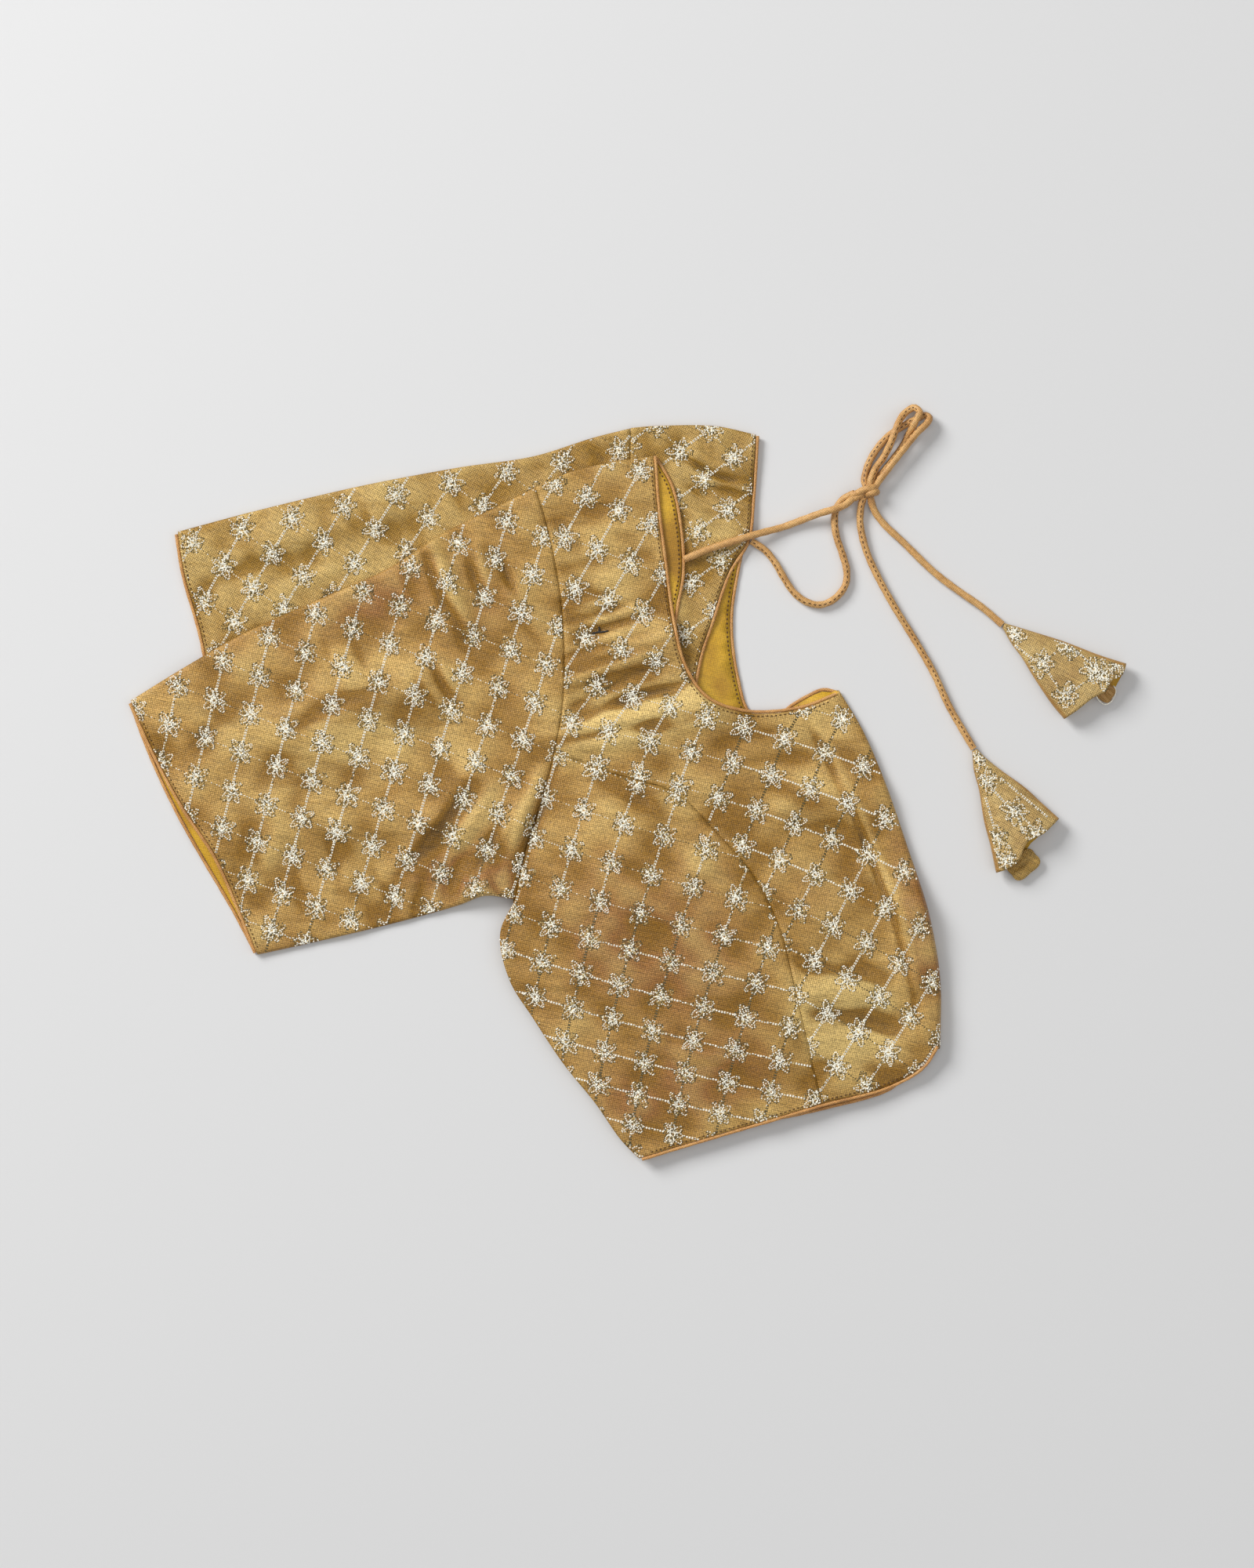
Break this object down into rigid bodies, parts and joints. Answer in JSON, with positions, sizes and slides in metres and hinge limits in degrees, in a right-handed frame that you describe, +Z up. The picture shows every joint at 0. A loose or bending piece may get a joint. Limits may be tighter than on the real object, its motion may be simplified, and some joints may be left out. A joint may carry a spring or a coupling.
{
  "type": "square neck blouse",
  "caption": "Fitted cropped blouse with elbow sleeves, low neck and back tie cords, folded in half along the centre front and laid flat.",
  "frame": {"origin": "on the table under the middle of the folded garment, without its tie cords", "axes": "+X towards the folded centre front, +Y towards the shoulders, +Z up from the table"},
  "size_m": [0.5352, 0.4057, 0.013],
  "materials": {
    "silk": "satin",
    "lining": "matte",
    "piping": "matte",
    "cord": "matte",
    "zari": "satin"
  },
  "bodies": {
    "root": {"front_centre": "silk", "front_side_near": "silk", "front_side_far": "silk", "back": "silk", "sleeve_near": "silk", "sleeve_far": "silk", "neck_piping_front_near": "piping", "neck_piping_front_far": "piping", "neck_piping_back_near": "piping", "neck_piping_back_far": "piping", "hem_piping_front_near": "piping", "hem_piping_front_far": "piping", "hem_piping_back_near": "piping", "hem_piping_back_far": "piping", "cuff_piping_near": "piping", "cuff_piping_near_under": "piping", "cuff_piping_far": "piping", "cuff_piping_far_under": "piping", "dori_near": "cord", "dori_far": "cord", "tail_one": "cord", "tail_two": "cord", "bow_under": "cord", "bow_over": "cord", "knot": "cord", "latkan_one": "silk", "latkan_one_tab": "silk", "latkan_two": "silk", "latkan_two_tab": "silk"}
  },
  "joints": []
}
